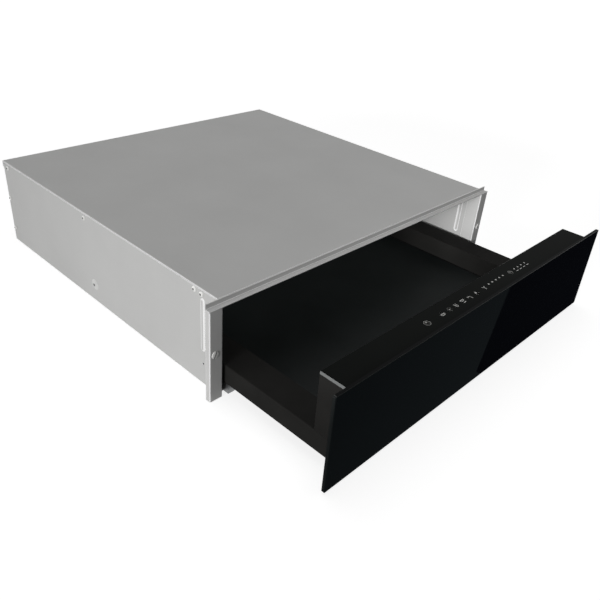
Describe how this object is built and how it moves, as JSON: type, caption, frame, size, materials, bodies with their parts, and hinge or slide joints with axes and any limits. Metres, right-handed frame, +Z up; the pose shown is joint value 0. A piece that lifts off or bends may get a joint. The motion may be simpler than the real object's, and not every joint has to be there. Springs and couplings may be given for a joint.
{
  "type": "warming drawer",
  "caption": "Low built-in warming drawer: black glass front with a touch panel on its upper edge, steel casing, open pan on telescopic ball-bearing runners and a hot-air heater behind.",
  "frame": {"origin": "centre of the casing's base, on the surface the casing stands on", "axes": "+Z up, the glass front faces -Y and the drawer slides out along -Y, +X to the right seen from the front"},
  "size_m": [0.595, 0.74, 0.1375],
  "materials": {
    "casing_steel": "smooth zinc-coated sheet, satin",
    "frame_steel": "smooth zinc-coated sheet, satin",
    "rail_steel": "rolled zinc-plated steel, satin",
    "bright_steel": "polished steel",
    "screw_steel": "nickel-plated",
    "black_paint": "fine satin black powder coat",
    "black_glass": "black-backed float glass, polished",
    "panel_glass": "black-backed glass with a white scale, polished",
    "black_plastic": "fine-grained moulded plastic",
    "mat_rubber": "matt non-slip silicone",
    "board_green": "solder-masked board",
    "core_steel": "stacked motor sheets",
    "coil_copper": "enamelled copper winding",
    "heater_steel": "annealed steel tube",
    "cage_plastic": "moulded plastic",
    "white_print": "white print on the control panel"
  },
  "bodies": {
    "casing": {"base_plate": "casing_steel", "left_side_panel": "casing_steel", "right_side_panel": "casing_steel", "rear_panel": "casing_steel", "top_cover": "casing_steel", "front_frame": "frame_steel", "cover_screws": "screw_steel", "rear_screws": "screw_steel", "frame_screws": "screw_steel", "left_rail_bracket": "rail_steel", "right_rail_bracket": "rail_steel", "bracket_screws": "screw_steel", "left_cabinet_rail": "rail_steel", "right_cabinet_rail": "rail_steel", "air_baffle": "casing_steel", "fan_housing": "casing_steel", "heating_element": "heater_steel", "motor_core": "core_steel", "motor_coil": "coil_copper", "motor_bracket": "rail_steel", "thermal_cutout": "black_plastic", "temperature_sensor": "bright_steel", "board_tray": "black_plastic", "power_board": "board_green", "terminal_block": "black_plastic", "cable_bushing": "black_plastic", "latch_housing": "black_plastic"},
    "drawer": {"left_drawer_rail": "rail_steel", "right_drawer_rail": "rail_steel", "left_rail_hanger": "black_paint", "right_rail_hanger": "black_paint", "drawer_pan": "black_paint", "left_drawer_side": "black_paint", "right_drawer_side": "black_paint", "drawer_rear_wall": "black_paint", "floor_mat": "mat_rubber", "latch_striker": "rail_steel", "control_box": "black_paint", "left_end_cap": "black_plastic", "right_end_cap": "black_plastic", "glass_carrier": "rail_steel", "touch_board": "board_green", "control_panel": "panel_glass", "front_glass": "black_glass"},
    "left_mid": {"left_mid_rail": "rail_steel"},
    "left_outer_cage": {"left_outer_cage": "cage_plastic", "left_outer_balls": "bright_steel"},
    "left_inner_cage": {"left_inner_cage": "cage_plastic", "left_inner_balls": "bright_steel"},
    "right_mid": {"right_mid_rail": "rail_steel"},
    "right_outer_cage": {"right_outer_cage": "cage_plastic", "right_outer_balls": "bright_steel"},
    "right_inner_cage": {"right_inner_cage": "cage_plastic", "right_inner_balls": "bright_steel"},
    "fan": {"fan_wheel": "rail_steel", "fan_shaft": "bright_steel"},
    "latch_plunger": {"latch_plunger": "bright_steel"}
  },
  "joints": [
    {"name": "drawer_slide", "type": "slide", "parent": "casing", "child": "drawer", "axis": [0, -1, 0], "range_m": [-0.184, 0.196]},
    {"name": "left_mid_slide", "type": "slide", "parent": "casing", "child": "left_mid", "axis": [0, -1, 0], "range_m": [-0.092, 0.098]},
    {"name": "left_outer_cage_slide", "type": "slide", "parent": "casing", "child": "left_outer_cage", "axis": [0, -1, 0], "range_m": [-0.046, 0.049]},
    {"name": "left_inner_cage_slide", "type": "slide", "parent": "casing", "child": "left_inner_cage", "axis": [0, -1, 0], "range_m": [-0.138, 0.147]},
    {"name": "right_mid_slide", "type": "slide", "parent": "casing", "child": "right_mid", "axis": [0, -1, 0], "range_m": [-0.092, 0.098]},
    {"name": "right_outer_cage_slide", "type": "slide", "parent": "casing", "child": "right_outer_cage", "axis": [0, -1, 0], "range_m": [-0.046, 0.049]},
    {"name": "right_inner_cage_slide", "type": "slide", "parent": "casing", "child": "right_inner_cage", "axis": [0, -1, 0], "range_m": [-0.138, 0.147]},
    {"name": "fan_spin", "type": "hinge", "parent": "casing", "child": "fan", "pos_m": [0, 0.21, 0.068], "axis": [0, 1, 0], "continuous": true},
    {"name": "latch_press", "type": "slide", "parent": "casing", "child": "latch_plunger", "axis": [0, 1, 0], "range_m": [0, 0.008], "stiffness_N_per_m": 400}
  ],
  "couplings": [
    {"joint": "left_mid_slide", "follows": "drawer_slide", "ratio": 0.5},
    {"joint": "left_outer_cage_slide", "follows": "drawer_slide", "ratio": 0.25},
    {"joint": "left_inner_cage_slide", "follows": "drawer_slide", "ratio": 0.75},
    {"joint": "right_mid_slide", "follows": "drawer_slide", "ratio": 0.5},
    {"joint": "right_outer_cage_slide", "follows": "drawer_slide", "ratio": 0.25},
    {"joint": "right_inner_cage_slide", "follows": "drawer_slide", "ratio": 0.75}
  ]
}
